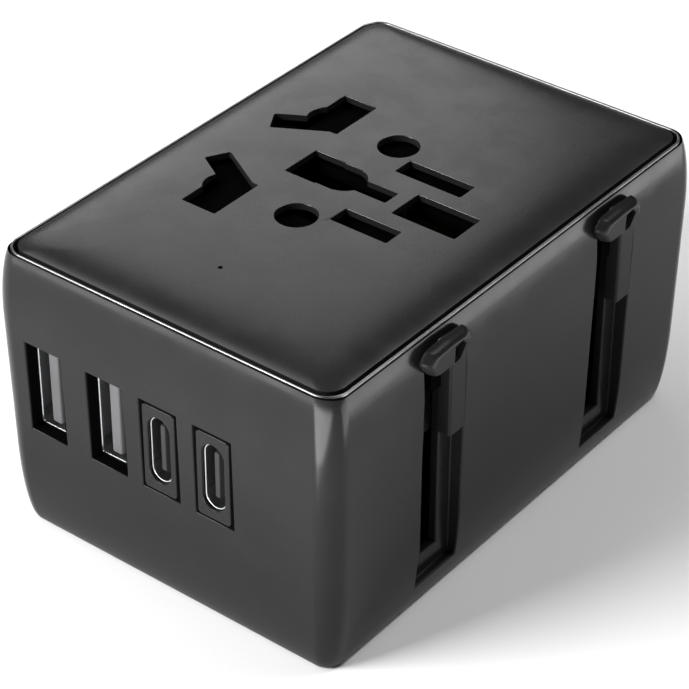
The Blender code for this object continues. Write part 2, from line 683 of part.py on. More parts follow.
clear_scene()
PARTS = collection("universal_travel_adapter")
CUTTERS = collection("cutters")
make_housing()
make_bottom_cover()
make_screws()
make_top_panel()
make_trim_ring()
make_light_pipe()
make_shutter()
make_contact_carrier()
make_contacts()
for port, centre in enumerate(PORT_CENTRES[:2], 1):
    make_usb_a(port, centre)
for port, centre in enumerate(PORT_CENTRES[2:], 1):
    make_usb_c(port, centre)
make_usb_board()
make_charger()
make_fuse()
for plug in SLIDER_PLACES:
    make_slider(plug)
make_euro_plug()
make_british_plug()
make_american_plug()
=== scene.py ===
"""The looks of a universal travel adapter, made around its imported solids.

Lengths are in millimetres, and MM turns them into metres. +Z is up with the base at z = 0, +X faces the side
with two sliders, and -Y faces the USB ports."""

import json
import math

import bmesh
import bpy
from mathutils import Matrix, Quaternion, Vector


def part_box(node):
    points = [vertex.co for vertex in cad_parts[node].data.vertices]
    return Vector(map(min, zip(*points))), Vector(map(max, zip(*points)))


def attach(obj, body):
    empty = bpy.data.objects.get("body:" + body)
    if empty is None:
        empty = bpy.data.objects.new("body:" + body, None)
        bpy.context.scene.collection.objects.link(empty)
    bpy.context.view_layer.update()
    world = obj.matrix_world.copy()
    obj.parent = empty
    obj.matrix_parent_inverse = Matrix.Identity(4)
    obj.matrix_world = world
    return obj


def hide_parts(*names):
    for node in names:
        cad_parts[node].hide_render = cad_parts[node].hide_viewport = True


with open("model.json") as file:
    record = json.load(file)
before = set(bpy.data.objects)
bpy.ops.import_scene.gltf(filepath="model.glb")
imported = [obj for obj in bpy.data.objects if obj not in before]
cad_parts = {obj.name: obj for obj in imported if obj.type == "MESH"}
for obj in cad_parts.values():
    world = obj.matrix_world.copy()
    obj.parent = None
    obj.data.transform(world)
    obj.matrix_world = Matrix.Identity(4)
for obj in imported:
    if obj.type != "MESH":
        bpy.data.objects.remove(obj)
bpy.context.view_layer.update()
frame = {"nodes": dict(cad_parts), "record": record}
SCENE = bpy.context.scene
MM = 0.001


def box_of(node):
    """A CAD node's lowest and highest corners, in millimetres."""
    low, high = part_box(node)
    return low / MM, high / MM


# The camera: where it looks, how far off it stands and how it is turned
VIEW_TARGET = (6.29, -10.07, 24.05)
VIEW_DISTANCE = 300.0
VIEW_AZIMUTH, VIEW_ELEVATION, VIEW_ROLL = 38.02, 35.357, 0.159
VIEW_LENS = 137.79

# The body's half sizes and top, and the curves of its sides
_, (HALF_X, HALF_Y, BODY_TOP) = box_of("main_housing")
WIDEST_Z = 29.2
SHOULDER = (1.1, 8.6)  # how far it comes in, and over what height
SHOULDER_END = 72  # degrees of arc that the shoulder takes to do so
SIDE_DRAFT = 0.96  # degrees
FOOT = (1.24, 10.5)  # how far it comes in, and over what height
CORNER_RADIUS = 2.95
CAVITY = (21.6, 32.2)
LEDGE_Z = 36.0
RECESS_HALF = (23.60, 34.10)
BOSS_AT, BOSS_RADIUS, BOSS_TOP = (18.9, 29.5), 3.0, 11.0
PILOT_RADIUS, PILOT_LOW = 1.2, 1.5
COVER_TOP = box_of("bottom_cover")[1].z

# The top panel: its crown falls away at the edge, so its outlines lie closer together there
_, (PANEL_X, PANEL_Y, PANEL_TOP) = box_of("top_socket_panel")
PANEL_LOW = box_of("top_socket_panel")[0].z
PANEL_UNDER = 37.5
PANEL_CORNER = 2.3
PANEL_POCKET = (20.6, 31.0)
PANEL_CROWN, PANEL_FADE = 0.72, 1.8
PANEL_INSETS = (0.0, 0.05, 0.12, 0.2, 0.3, 0.45, 0.7, 1.0, 1.4, 1.9, 2.5, 3.2, 4.0, 5.0, 6.2, 7.6, 9.2)
LIGHT_AT = (-0.9, -22.85)
EURO_X, EURO_PAIR_Y, EURO_HOLE = -1.04, 9.5, 2.5
OPENING_CORNER, OPENING_RIM = 0.25, 0.1

# The bright trim round the panel
_, (TRIM_X, TRIM_Y, TRIM_TOP) = box_of("trim_ring")
TRIM_WIDTH, TRIM_CREST, TRIM_CORNER = 0.3, TRIM_TOP - 0.12, 2.7

# USB ports
PORT_NODES = ("usb_a_shell_1", "usb_a_shell_2", "usb_c_shell_1", "usb_c_shell_2")
PORT_CENTRES = [sum(corner.x for corner in box_of(node)) / 2 for node in PORT_NODES]
PORT_Z = 20.75
PORT_WIDTH, PORT_HEIGHT = 5.45, 12.2
PORT_FACE_Y = -35.0
USB_A_CLEAR, USB_A_WALL, USB_A_FORWARD = 0.13, 0.38, 1.5
USB_A_CONTACTS = (-3.5, -1.25, 1.25, 3.5)
USB_C_MARGIN, USB_C_LIP, USB_C_WALL = 0.1, 0.3, 0.28
USB_C_SHELL_FORWARD, USB_C_TONGUE_FORWARD = 0.4, 0.7
USB_C_PADS, USB_C_PITCH = 12, 0.5

# Sliders: which side each is on and its middle along Y, the channels, and the hoods
SLIDER_PLACES = {"us_au": (1, -15.45), "eu": (1, 17.6), "uk": (-1, -1.6)}
CHANNEL_HALF, CHANNEL_FLOOR, CHANNEL_Z = 3.75, 22.6, (3.2, 34.8)
SLOT_HALF, SLOT_Z = 1.4, (6.0, 33.4)
HOOD_BACK, HOOD_SHIFT = 24.5, -0.9
HOOD_HEIGHT, HOOD_HALF_TOP, HOOD_HALF_FOOT, HOOD_ROUNDING = 3.4, 4.5, 2.7, 0.85
PAD_LOW = 22.2
STEM_OUT, STEM_HALF, STEM_Z = (21.5, 23.2), 1.1, (28.6, 32.6)

# The wall at each end of the contacts' tray
SKIRT_X, SKIRT_HALF_Y, SKIRT_Z = (17.42, 18.0), 17.3, (25.5, 35.45)

# Pins and blades
ROUND_PIN_BARE, ROUND_PIN_NECK, ROUND_PIN_SLEEVE = 9.0, 0.12, 0.3
FLAT_PIN_BARE, FLAT_PIN_MARGIN, FLAT_PIN_CORE = 9.2, Vector((0.06, 0.06, 0)), Vector((0.25, 0.25, 0))
BLADE_HALF_X, BLADE_HALF_Y = 0.75, 3.18
BLADE_FOOT_LOW, BLADE_FOOT_RADIUS = 21.2, 3.7
BLADE_HOLE_RADIUS, BLADE_HOLE_UP = 1.5, 3.6

TURNED_SEGMENTS = 40


# ---------------------------------------------------------------- shapes


def object_copy(node, name):
    """A free object with the shape that a CAD node has at rest."""
    data = bpy.data.meshes.new(name)
    mesh = bmesh.new()
    mesh.from_mesh(node.data)
    mesh.transform(node.matrix_world)
    bmesh.ops.dissolve_limit(mesh, angle_limit=math.radians(0.5), verts=mesh.verts, edges=mesh.edges)
    mesh.to_mesh(data)
    mesh.free()
    made = bpy.data.objects.new(name, data)
    SCENE.collection.objects.link(made)
    return made


def quarter(steps):
    """The angles of a quarter turn, in radians, from 0 in equal steps."""
    return [math.radians(90 * i / steps) for i in range(steps + 1)]


def turned(name, at, profile, closed=False):
    """A profile of (radius, z) turned about a vertical axis. A closed profile makes a ring."""
    mesh = bmesh.new()
    angles = [2 * math.pi * i / TURNED_SEGMENTS for i in range(TURNED_SEGMENTS)]
    rows = []
    for radius, z in profile:
        if radius < 1e-6:
            rows.append([mesh.verts.new((*at, z))])
            continue
        points = [(at[0] + radius * math.cos(a), at[1] + radius * math.sin(a), z) for a in angles]
        rows.append([mesh.verts.new(point) for point in points])
    for lower, upper in zip(rows, rows[1:] + (rows[:1] if closed else [])):
        for i in range(TURNED_SEGMENTS):
            j = (i + 1) % TURNED_SEGMENTS
            quad = [row[k % len(row)] for row, k in ((lower, i), (lower, j), (upper, j), (upper, i))]
            mesh.faces.new(list(dict.fromkeys(quad)))
    return object_of(name, mesh)


def object_of(name, mesh):
    """An object from a bmesh in millimetres."""
    bmesh.ops.recalc_face_normals(mesh, faces=mesh.faces)
    bmesh.ops.scale(mesh, vec=(MM, MM, MM), verts=mesh.verts)
    data = bpy.data.meshes.new(name)
    mesh.to_mesh(data)
    mesh.free()
    made = bpy.data.objects.new(name, data)
    SCENE.collection.objects.link(made)
    return made


def box(name, low, high):
    mesh = bmesh.new()
    middle = (Vector(low) + Vector(high)) / 2
    size = Vector(high) - Vector(low)
    bmesh.ops.create_cube(mesh, size=1, matrix=Matrix.Translation(middle) @ Matrix.Diagonal((*size, 1)))
    return object_of(name, mesh)


def cylinder(name, radius, start, end, segments=32):
    """A round bar from one point to another."""
    mesh = bmesh.new()
    way = Vector(end) - Vector(start)
    turn = way.to_track_quat("Z", "Y").to_matrix().to_4x4()
    place = Matrix.Translation((Vector(start) + Vector(end)) / 2) @ turn
    bmesh.ops.create_cone(
        mesh, cap_ends=True, segments=segments, radius1=radius, radius2=radius, depth=way.length, matrix=place
    )
    return object_of(name, mesh)


def skin(name, rings, closed=False):
    """Rings of points joined in order. The first and the last get caps, or are joined if closed."""
    mesh = bmesh.new()
    loops = [[mesh.verts.new(point) for point in ring] for ring in rings]
    for lower, upper in zip(loops, loops[1:] + (loops[:1] if closed else [])):
        for i, corner in enumerate(lower):
            j = (i + 1) % len(lower)
            mesh.faces.new((corner, lower[j], upper[j], upper[i]))
    if not closed:
        mesh.faces.new(list(reversed(loops[0])))
        mesh.faces.new(loops[-1])
    return object_of(name, mesh)


def loft(name, sections):
    """Closed outlines of equal point counts, each (z, outline), joined from the lowest up."""
    return skin(name, [[(x, y, z) for x, y in outline] for z, outline in sections])


def rounded_polygon(corners, radius, steps=5):
    """An outline with each corner turned into an arc. radius is one number or one for each corner."""
    points = []
    count = len(corners)
    radii = radius if isinstance(radius, (list, tuple)) else [radius] * count
    for i, corner in enumerate(corners):
        here = Vector(corner)
        before = (Vector(corners[i - 1]) - here).normalized()
        after = (Vector(corners[(i + 1) % count]) - here).normalized()
        half = before.angle(after) / 2
        centre = here + (before + after).normalized() * (radii[i] / math.sin(half))
        start = here + before * (radii[i] / math.tan(half)) - centre
        end = here + after * (radii[i] / math.tan(half)) - centre
        sweep = start.angle_signed(end)
        for step in range(steps + 1):
            arm = start.copy()
            arm.rotate(Matrix.Rotation(-sweep * step / steps, 2))
            points.append(tuple(centre + arm))
    return points


def prism(name, outline, low, high):
    return loft(name, [(low, outline), (high, outline)])


def rounded_rectangle(half_x, half_y, radius, steps=12):
    points = []
    for quadrant, (side_x, side_y) in enumerate(((1, 1), (-1, 1), (-1, -1), (1, -1))):
        centre = (side_x * (half_x - radius), side_y * (half_y - radius))
        for step in range(steps + 1):
            angle = math.radians(90 * (quadrant + step / steps))
            points.append((centre[0] + radius * math.cos(angle), centre[1] + radius * math.sin(angle)))
    return points


def turned_points(points, x, y, degrees):
    """Points about the origin, turned and moved to (x, y)."""
    cos, sin = math.cos(math.radians(degrees)), math.sin(math.radians(degrees))
    return [(x + px * cos - py * sin, y + px * sin + py * cos) for px, py in points]


def settled(obj):
    """Turns what an object's modifiers make of it into its own mesh."""
    bpy.context.view_layer.update()
    graph = bpy.context.evaluated_depsgraph_get()
    mesh = bpy.data.meshes.new_from_object(obj.evaluated_get(graph))
    obj.modifiers.clear()
    obj.data = mesh
    return obj


def carved(target, tools, operation="DIFFERENCE"):
    """Cuts the tools from the target, or joins them to it with UNION, and removes them."""
    for tool in tools:
        step = target.modifiers.new(tool.name, "BOOLEAN")
        step.operation = operation
        step.solver = "EXACT"
        step.object = tool
    settled(target)
    for tool in tools:
        bpy.data.objects.remove(tool)
    return target


def soften(obj, width, choose, segments=3, least_angle=30.0):
    """Rounds the sharp edges whose middle, in millimetres, choose(middle) accepts."""
    mesh = bmesh.new()
    mesh.from_mesh(obj.data)
    bmesh.ops.remove_doubles(mesh, verts=mesh.verts, dist=1e-7)
    picked = []
    for edge in mesh.edges:
        if len(edge.link_faces) != 2 or edge.calc_face_angle(0.0) < math.radians(least_angle):
            continue
        if choose((edge.verts[0].co + edge.verts[1].co) / 2 / MM):
            picked.append(edge)
    bmesh.ops.bevel(
        mesh, geom=picked, offset=width * MM, offset_type="OFFSET", segments=segments, profile=0.5,
        affect="EDGES", clamp_overlap=True,
    )
    mesh.to_mesh(obj.data)
    mesh.free()
    return obj


def everywhere(middle):
    """Accepts every edge, for soften."""
    return True


def smooth(obj, angle=32.0):
    """Smooth shading that leaves flat faces flat."""
    obj.data.shade_smooth()
    obj.data.set_sharp_from_angle(angle=math.radians(angle))
    normals = obj.modifiers.new("Normals", "WEIGHTED_NORMAL")
    normals.keep_sharp = True
    return obj


def piece(obj, body, slot, material, *nodes):
    """Gives an object its material, parents it to the body it rides on and hides the CAD nodes it stands for.
    """
    obj.data.materials.clear()
    obj.data.materials.append(material)
    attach(obj, body)
    if nodes:
        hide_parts(*nodes)
    return obj


# ---------------------------------------------------------------- materials


def add(tree, kind, inputs=None, **settings):
    """A node with its settings, and inputs that are numbers or sockets to link."""
    node = tree.nodes.new(kind)
    for key, value in settings.items():
        setattr(node, key, value)
    for key, value in (inputs or {}).items():
        if isinstance(value, bpy.types.NodeSocket):
            tree.links.new(value, node.inputs[key])
        else:
            node.inputs[key].default_value = value
    return node


def spread(tree, coordinates, size, low, high, detail):
    """A noise whose features are size millimetres across, as a value from low to high."""
    pattern = {"Vector": coordinates, "Scale": 1 / (size * MM), "Detail": detail}
    noise = add(tree, "ShaderNodeTexNoise", pattern)
    ranged = {"Value": noise.outputs["Fac"], "From Min": 0.3, "From Max": 0.7, "To Min": low, "To Max": high}
    return add(tree, "ShaderNodeMapRange", ranged).outputs["Result"]


def tinted(tree, shade, colour):
    """A colour made lighter and darker by a value about 1."""
    scaled = add(tree, "ShaderNodeVectorMath", {0: colour[:3], "Scale": shade}, operation="SCALE")
    return scaled.outputs["Vector"]


def surface(name, colour, tint, gloss, grain, depth):
    """A material and its shader. tint and gloss say how each wanders: (size, low, high, detail)."""
    made = bpy.data.materials.new(name)
    made.use_nodes = True
    tree = made.node_tree
    shader = tree.nodes["Principled BSDF"]
    where = add(tree, "ShaderNodeTexCoord").outputs["Object"]
    tree.links.new(tinted(tree, spread(tree, where, *tint), colour), shader.inputs["Base Color"])
    tree.links.new(spread(tree, where, *gloss), shader.inputs["Roughness"])
    height = spread(tree, where, grain, 0.0, 1.0, 3.0)
    bump = add(tree, "ShaderNodeBump", {"Height": height, "Strength": 1.0, "Distance": depth * MM})
    tree.links.new(bump.outputs["Normal"], shader.inputs["Normal"])
    return made, shader


def moulded(name, colour, roughness, grain=0.16, depth=0.004, specular=0.5, uneven=0.05, wander=0.1):
    """Injection-moulded plastic: a fine spark-eroded grain, and gloss and colour that wander a little."""
    tint = (7.0, 1 - wander, 1 + wander, 3.0)
    gloss = (4.0, roughness - uneven, roughness + uneven, 4.0)
    made, shader = surface(name, colour, tint, gloss, grain, depth)
    shader.inputs["Specular IOR Level"].default_value = specular
    return made


def plated(name, colour, roughness, grain=1.2, depth=0.001):
    """Metal with faint unevenness and slight tarnish."""
    tint = (2.5, 0.88, 1.05, 4.0)
    gloss = (grain * 2, roughness * 0.95, roughness * 1.08, 3.0)
    made, shader = surface(name, colour, tint, gloss, grain, depth)
    shader.inputs["Metallic"].default_value = 1.0
    return made


SHELL = moulded("shell_moulding", (0.010, 0.010, 0.0105), 0.19, depth=0.0015, specular=0.15)
PANEL = moulded("panel_moulding", (0.012, 0.012, 0.0125), 0.27, grain=0.12, depth=0.0010, uneven=0.03)
BUTTON = moulded("button_moulding", (0.010, 0.010, 0.0105), 0.33, depth=0.002, specular=0.10)
CARRIAGE = moulded("carriage_moulding", (0.004, 0.004, 0.0042), 0.6, depth=0.004, specular=0.12)
# Black plastic made darker than it is and without gloss: painted shade deep in the pin openings
SHUTTER = moulded("shade_black_shutter", (0.0015, 0.0015, 0.0015), 0.8, depth=0.004, specular=0.0)
TRIM = plated("trim_metal", (0.20, 0.20, 0.204), 0.30, grain=0.08, depth=0.0008)
TONGUE = moulded("tongue_moulding", (0.085, 0.085, 0.088), 0.5, depth=0.003, specular=0.3)
TONGUE_DARK = moulded("dark_tongue_moulding", (0.022, 0.022, 0.023), 0.55, depth=0.003, specular=0.2)
# Near-black without gloss: painted shade, for the gaps round the ports, the stem seen through a slot and the
# walls inside
SHADE_MATT = moulded("painted_shade_matt", (0.002, 0.002, 0.002), 0.8, depth=0.003, specular=0.0)
# Brass darkened almost to black: painted shade on the contacts deep inside the sockets
CONTACT = plated("shade_darkened_brass", (0.02, 0.017, 0.011), 0.6, depth=0.002)
BRASS = plated("drawn_brass", (0.72, 0.52, 0.22), 0.28)
NICKEL = plated("nickel_plate", (0.62, 0.61, 0.58), 0.24)
STEEL = plated("plated_steel", (0.60, 0.61, 0.62), 0.24)
GOLD = plated("gold_plate", (0.83, 0.60, 0.25), 0.25)
BOARD = moulded("solder_mask", (0.015, 0.12, 0.05), 0.35, grain=0.5, depth=0.006)
FERRITE = moulded("sintered_ferrite", (0.03, 0.03, 0.032), 0.62, grain=0.25, depth=0.02)
TAPE = moulded("polyester_tape", (0.62, 0.45, 0.05), 0.4, grain=0.6, depth=0.01)
SLEEVE = moulded("capacitor_sleeve", (0.012, 0.02, 0.06), 0.3, grain=0.8, depth=0.004)
CERAMIC = moulded("fuse_ceramic", (0.74, 0.72, 0.66), 0.35, grain=0.3, depth=0.003)
CLEAR = moulded("clear_moulding", (0.30, 0.31, 0.32), 0.12, grain=0.4, depth=0.001)

SLOT_MATERIALS = {
    "shell_black": SHELL, "panel_black": PANEL, "trim_bright": TRIM, "button_black": BUTTON,
    "carriage_black": CARRIAGE, "shutter_black": SHUTTER, "tongue_grey": TONGUE, "brass": BRASS,
    "plug_nickel": NICKEL, "steel": STEEL, "board_green": BOARD, "ferrite": FERRITE, "winding_tape": TAPE,
    "capacitor_sleeve": SLEEVE, "fuse_ceramic": CERAMIC, "light_pipe": CLEAR,
}


def dress_cad_nodes():
    """Every CAD node gets the procedural material of its slot in the record, but the contacts inside the
    sockets get brass darkened almost to black, as painted shade.
    """
    for row in frame["record"]["subparts"]:
        node = frame["nodes"][row["node"]]
        node.data.materials.clear()
        # The contacts deep in the sockets get the darkened brass, as painted shade
        in_socket = row["node"].endswith("_contact")
        node.data.materials.append(CONTACT if in_socket else SLOT_MATERIALS[row["material_slot"]])
        node.data.shade_smooth()
        node.data.set_sharp_from_angle(angle=math.radians(35))


# ---------------------------------------------------------------- casing


def side_inset(z):
    """How far the side stands in from the widest level at a height."""
    if z > WIDEST_Z:
        reach, height = SHOULDER
        end = math.radians(SHOULDER_END)
        angle = math.asin((z - WIDEST_Z) / height * math.sin(end))
        return reach * (1 - math.cos(angle)) / (1 - math.cos(end))
    drafted = (WIDEST_Z - z) * math.tan(math.radians(SIDE_DRAFT))
    reach, height = FOOT
    if z >= height:
        return drafted
    return drafted + reach * (1 - math.sqrt(1 - ((height - z) / (height + 0.1)) ** 2))


def body_heights():
    """Levels that follow the foot's curve and the shoulder's closely and the drafted side loosely."""
    foot = [FOOT[1] * (1 - math.cos(math.radians(90 * i / 9))) for i in range(10)]
    shoulder, steps = [], 11
    for i in range(steps + 1):
        risen = math.sin(math.radians(SHOULDER_END * i / steps)) / math.sin(math.radians(SHOULDER_END))
        shoulder.append(WIDEST_Z + (BODY_TOP - WIDEST_Z) * risen)
    return foot + shoulder


def boss_places():
    return [(sx * BOSS_AT[0], sy * BOSS_AT[1]) for sx in (1, -1) for sy in (1, -1)]


def in_channel(middle):
    """Whether a point in millimetres is on the outer edges of a slider's channel or slot."""
    for side, y in SLIDER_PLACES.values():
        if middle.x * side > CHANNEL_FLOOR - 0.1 and abs(middle.y - y) < CHANNEL_HALF + 0.05:
            return CHANNEL_Z[0] - 0.1 < middle.z < CHANNEL_Z[1] + 0.1
    return False


def at_ports(middle):
    """Whether a point in millimetres is on the mouth of a USB port."""
    if middle.y > PORT_FACE_Y + 1.5 or abs(middle.z - PORT_Z) > PORT_HEIGHT / 2 + 0.05:
        return False
    return any(abs(middle.x - x) < PORT_WIDTH / 2 + 0.05 for x in PORT_CENTRES)


def make_housing():
    """The hollow casing, with its port cut-outs, slider channels and slots, and screw bosses."""
    sections = []
    for z in body_heights():
        inset = side_inset(z)
        radius = CORNER_RADIUS - inset / 2
        sections.append((z, rounded_rectangle(HALF_X - inset, HALF_Y - inset, radius)))
    housing = loft("housing_shell", sections)
    cuts = [
        prism("cavity", rounded_rectangle(*CAVITY, 1.6, 6), -1, LEDGE_Z + 1),
        prism("recess", rounded_rectangle(*RECESS_HALF, 2.4), LEDGE_Z, BODY_TOP + 1),
    ]
    for number, x in enumerate(PORT_CENTRES):
        low = (x - PORT_WIDTH / 2, PORT_FACE_Y - 2, PORT_Z - PORT_HEIGHT / 2)
        high = (x + PORT_WIDTH / 2, PORT_FACE_Y + 6, PORT_Z + PORT_HEIGHT / 2)
        cuts.append(box(f"port_{number}", low, high))
    for name, (side, y) in SLIDER_PLACES.items():
        for label, floor, half, (low_z, high_z) in (
            ("channel", CHANNEL_FLOOR, CHANNEL_HALF, CHANNEL_Z),
            ("slot", CAVITY[0] - 1, SLOT_HALF, SLOT_Z),
        ):
            near, far = sorted((side * floor, side * (HALF_X + 2)))
            cuts.append(box(f"{name}_{label}", (near, y - half, low_z), (far, y + half, high_z)))
    carved(housing, cuts)
    bosses, pilots = [], []
    for number, (x, y) in enumerate(boss_places()):
        bosses.append(cylinder(f"boss_{number}", BOSS_RADIUS, (x, y, COVER_TOP + 0.3), (x, y, BOSS_TOP)))
        pilots.append(cylinder(f"pilot_{number}", PILOT_RADIUS, (x, y, PILOT_LOW), (x, y, BOSS_TOP - 1)))
    carved(housing, bosses, "UNION")
    carved(housing, pilots)
    soften(housing, 0.22, in_channel)
    soften(housing, 0.14, at_ports)
    piece(smooth(housing), "casing", "shell_black", SHELL, "main_housing")


# ---------------------------------------------------------------- top panel and trim


def panel_drop(inset):
    """How far the panel's surface lies under its top, at a distance in from its edge."""
    return PANEL_CROWN * math.exp(-inset / PANEL_FADE)


def slot_outline(x, y, half_x, half_y, turn=0.0):
    """A narrow opening with slightly rounded corners, turned about its middle by turn degrees."""
    return turned_points(rounded_rectangle(half_x, half_y, OPENING_CORNER, 3), x, y, turn)


def round_outline(x, y, radius, segments=40):
    angles = [2 * math.pi * i / segments for i in range(segments)]
    return [(x + radius * math.cos(a), y + radius * math.sin(a)) for a in angles]


def socket_shapes(grow):
    """Outlines of the pin openings, each grown by a margin. Those that overlap make one opening."""
    shapes = []
    for side in (1, -1):
        # British live or neutral, the round and slanted openings that meet it, and European
        shapes.append(slot_outline(-10.9, side * 11.07, 2.4 + grow, 3.87 + grow))
        shapes.append(round_outline(-11.5, side * EURO_PAIR_Y, 2.6 + grow))
        shapes.append(slot_outline(-13.1, side * 6.95, 3.9 + grow, 1.6 + grow, side * 30))
        shapes.append(round_outline(EURO_X, side * EURO_PAIR_Y, EURO_HOLE + grow, 48))
    # The two American slots
    shapes.append(slot_outline(6.35, -6.35, 3.95 + grow, 1.45 + grow))
    shapes.append(slot_outline(6.55, 6.35, 4.6 + grow, 1.45 + grow))
    # British earth
    shapes.append(slot_outline(11.4, 0, 4.35 + grow, 2.5 + grow))
    # The stepped opening in the middle
    shapes.append(slot_outline(-5.9, 0, 2.2 + grow, 2.85 + grow))
    shapes.append(round_outline(-1.54, 0, 2.6 + grow))
    shapes.append(slot_outline(-0.2, 0, 5.35 + grow, 1.25 + grow))
    shapes.append(slot_outline(-3.0, 0, 1.9 + grow, 2.7 + grow))
    return shapes


def socket_cutters(low, high, rim):
    """A cutter for each pin opening, flared at the top so that its edge comes out rounded."""
    levels = [(low, 0.0), (high - rim, 0.0)]
    for degrees in (30, 60, 90):
        angle = math.radians(degrees)
        levels.append((high - rim * (1 - math.sin(angle)), rim * (1 - math.cos(angle))))
    levels.append((high + 1.0, rim))
    grown = [(z, socket_shapes(grow)) for z, grow in levels]
    for number in range(len(grown[0][1])):
        yield loft(f"socket_{number}", [(z, shapes[number]) for z, shapes in grown])


def make_top_panel():
    """The crowned panel, hollowed from below, with the pin openings and the indicator light's hole."""
    sections = [(PANEL_LOW, rounded_rectangle(PANEL_X, PANEL_Y, PANEL_CORNER))]
    for inset in PANEL_INSETS:
        outline = rounded_rectangle(PANEL_X - inset, PANEL_Y - inset, PANEL_CORNER + inset / 2)
        sections.append((PANEL_TOP - panel_drop(inset), outline))
    panel = loft("socket_panel", sections)
    pocket = prism("panel_pocket", rounded_rectangle(*PANEL_POCKET, 1.5, 4), LEDGE_Z - 1, PANEL_UNDER)
    light = cylinder("light_hole", 0.3, (*LIGHT_AT, LEDGE_Z), (*LIGHT_AT, PANEL_TOP + 0.7), 20)
    carved(panel, [pocket, *socket_cutters(LEDGE_Z + 0.5, PANEL_TOP, OPENING_RIM), light])
    piece(smooth(panel), "casing", "panel_black", PANEL, "top_socket_panel")


def make_trim_ring():
    """A bright ring with a rounded crest, in the groove between the panel and the housing."""
    low_z = box_of("trim_ring")[0].z
    middle = TRIM_WIDTH / 2
    profile = [(0.0, low_z)]
    for degrees in range(0, 181, 20):
        angle = math.radians(degrees)
        profile.append((middle - middle * math.cos(angle), TRIM_CREST - middle + middle * math.sin(angle)))
    profile.append((TRIM_WIDTH, low_z))
    rings = []
    for inset, z in profile:
        outline = rounded_rectangle(TRIM_X - inset, TRIM_Y - inset, TRIM_CORNER - inset * 0.8, 16)
        rings.append([(x, y, z) for x, y in outline])
    piece(smooth(skin("bright_trim", rings, closed=True)), "casing", "trim_bright", TRIM, "trim_ring")


# ---------------------------------------------------------------- USB end


def along_y(obj, x):
    """Turns a shape drawn in X and Y and raised in Z so that its height runs towards -Y, at a port."""
    shift = Matrix.Translation((x * MM, 0, PORT_Z * MM))
    obj.data.transform(shift @ Matrix.Rotation(math.pi / 2, 4, "X"))
    return obj


def metal_sleeve(name, half_x, half_z, radius, wall, start_y, end_y, x):
    """A folded steel tube along Y with a rolled front lip and a closed back."""
    lip = wall * 0.45

    def ring(inset, depth):
        shape = rounded_rectangle(half_x - inset, half_z - inset, max(radius - inset, 0.06), 8)
        return [(px, pz, depth) for px, pz in shape]

    front, back = -start_y, -end_y
    rings = [ring(0, back), ring(0, front - lip), ring(lip * 0.3, front - lip * 0.3), ring(lip, front)]
    rings += [ring(wall - lip, front), ring(wall - lip * 0.3, front - lip * 0.3), ring(wall, front - lip)]
    rings += [ring(wall, back + wall)]
    return along_y(skin(name, rings), x)


def make_port_liner(number, x, inner_half, front_y, back_y):
    """A near-black matt collar inside a port's mouth, against the housing: painted shade in the gap round the
    port.
    """
    outer = rounded_rectangle(PORT_WIDTH / 2 - 0.01, PORT_HEIGHT / 2 - 0.01, 0.1, 3)
    inner = rounded_rectangle(*inner_half, 0.1, 3)
    rings = []
    for outline, y in ((outer, back_y), (outer, front_y), (inner, front_y), (inner, back_y)):
        rings.append([(x + px, y, PORT_Z + pz) for px, pz in outline])
    piece(smooth(skin(f"port_shade_liner_{number}", rings, closed=True)), "casing", "shell_black", SHADE_MATT)


def make_usb_a(number, x):
    """A steel sleeve with its front just inside the mouth, and a tongue with four contacts."""
    low, high = box_of(f"usb_a_shell_{number}")
    front = low.y - USB_A_FORWARD
    half_x, half_z = PORT_WIDTH / 2 - USB_A_CLEAR, PORT_HEIGHT / 2 - USB_A_CLEAR
    shell = metal_sleeve(f"usb_a_sleeve_{number}", half_x, half_z, 0.5, USB_A_WALL, front, high.y, x)
    piece(smooth(shell), "casing", "steel", STEEL, f"usb_a_shell_{number}")
    make_port_liner(number, x, (half_x + 0.005, half_z + 0.005), PORT_FACE_Y + 0.2, front + 0.3)
    low, high = box_of(f"usb_a_tongue_{number}")
    near, far = (low.x + 0.5, front + 0.15, low.z - 0.3), (high.x + 0.2, high.y, high.z + 0.3)
    tongue = soften(box(f"usb_a_insulator_{number}", near, far), 0.3, everywhere)
    piece(smooth(tongue), "casing", "tongue_grey", TONGUE, f"usb_a_tongue_{number}")
    for place, z in enumerate(USB_A_CONTACTS, 1):
        near, far = (low.x + 0.43, low.y + 1.2, PORT_Z + z - 0.5), (low.x + 0.6, high.y, PORT_Z + z + 0.5)
        strip = soften(box(f"usb_a_contact_{number}_{place}", near, far), 0.05, everywhere, 2)
        piece(smooth(strip), "casing", "brass", GOLD)


def make_usb_c_frame(number, x):
    """The surround that fills the port round an oval mouth, with a near-black matt collar round it as painted
    shade in the gap.
    """
    margin = Vector((USB_C_MARGIN, 0, USB_C_MARGIN))
    low, high = box_of(f"usb_c_bezel_{number}")
    low, high = low + margin, high - margin
    bezel = box(f"usb_c_frame_{number}", low, high)
    half_x, half_z = (high.x - low.x) / 2, (high.z - low.z) / 2
    edge_x, edge_z = half_x - 0.01, half_z - 0.01
    soften(bezel, 0.5, lambda middle: abs(middle.x - x) > edge_x and abs(middle.z - PORT_Z) > edge_z, 4)
    make_port_liner(number + 2, x, (half_x + 0.01, half_z + 0.01), PORT_FACE_Y + 0.25, high.y)
    front = -low.y
    mouth = along_y(prism("mouth", rounded_rectangle(1.58, 4.46, 1.57), 30, front + 1), x)
    seat = along_y(prism("seat", rounded_rectangle(1.85, 4.73, 1.84), 30, front - USB_C_LIP), x)
    carved(bezel, [mouth, seat])
    soften(bezel, 0.1, lambda middle: middle.y < low.y + 0.05)
    piece(smooth(bezel), "casing", "shell_black", SHELL, f"usb_c_bezel_{number}")


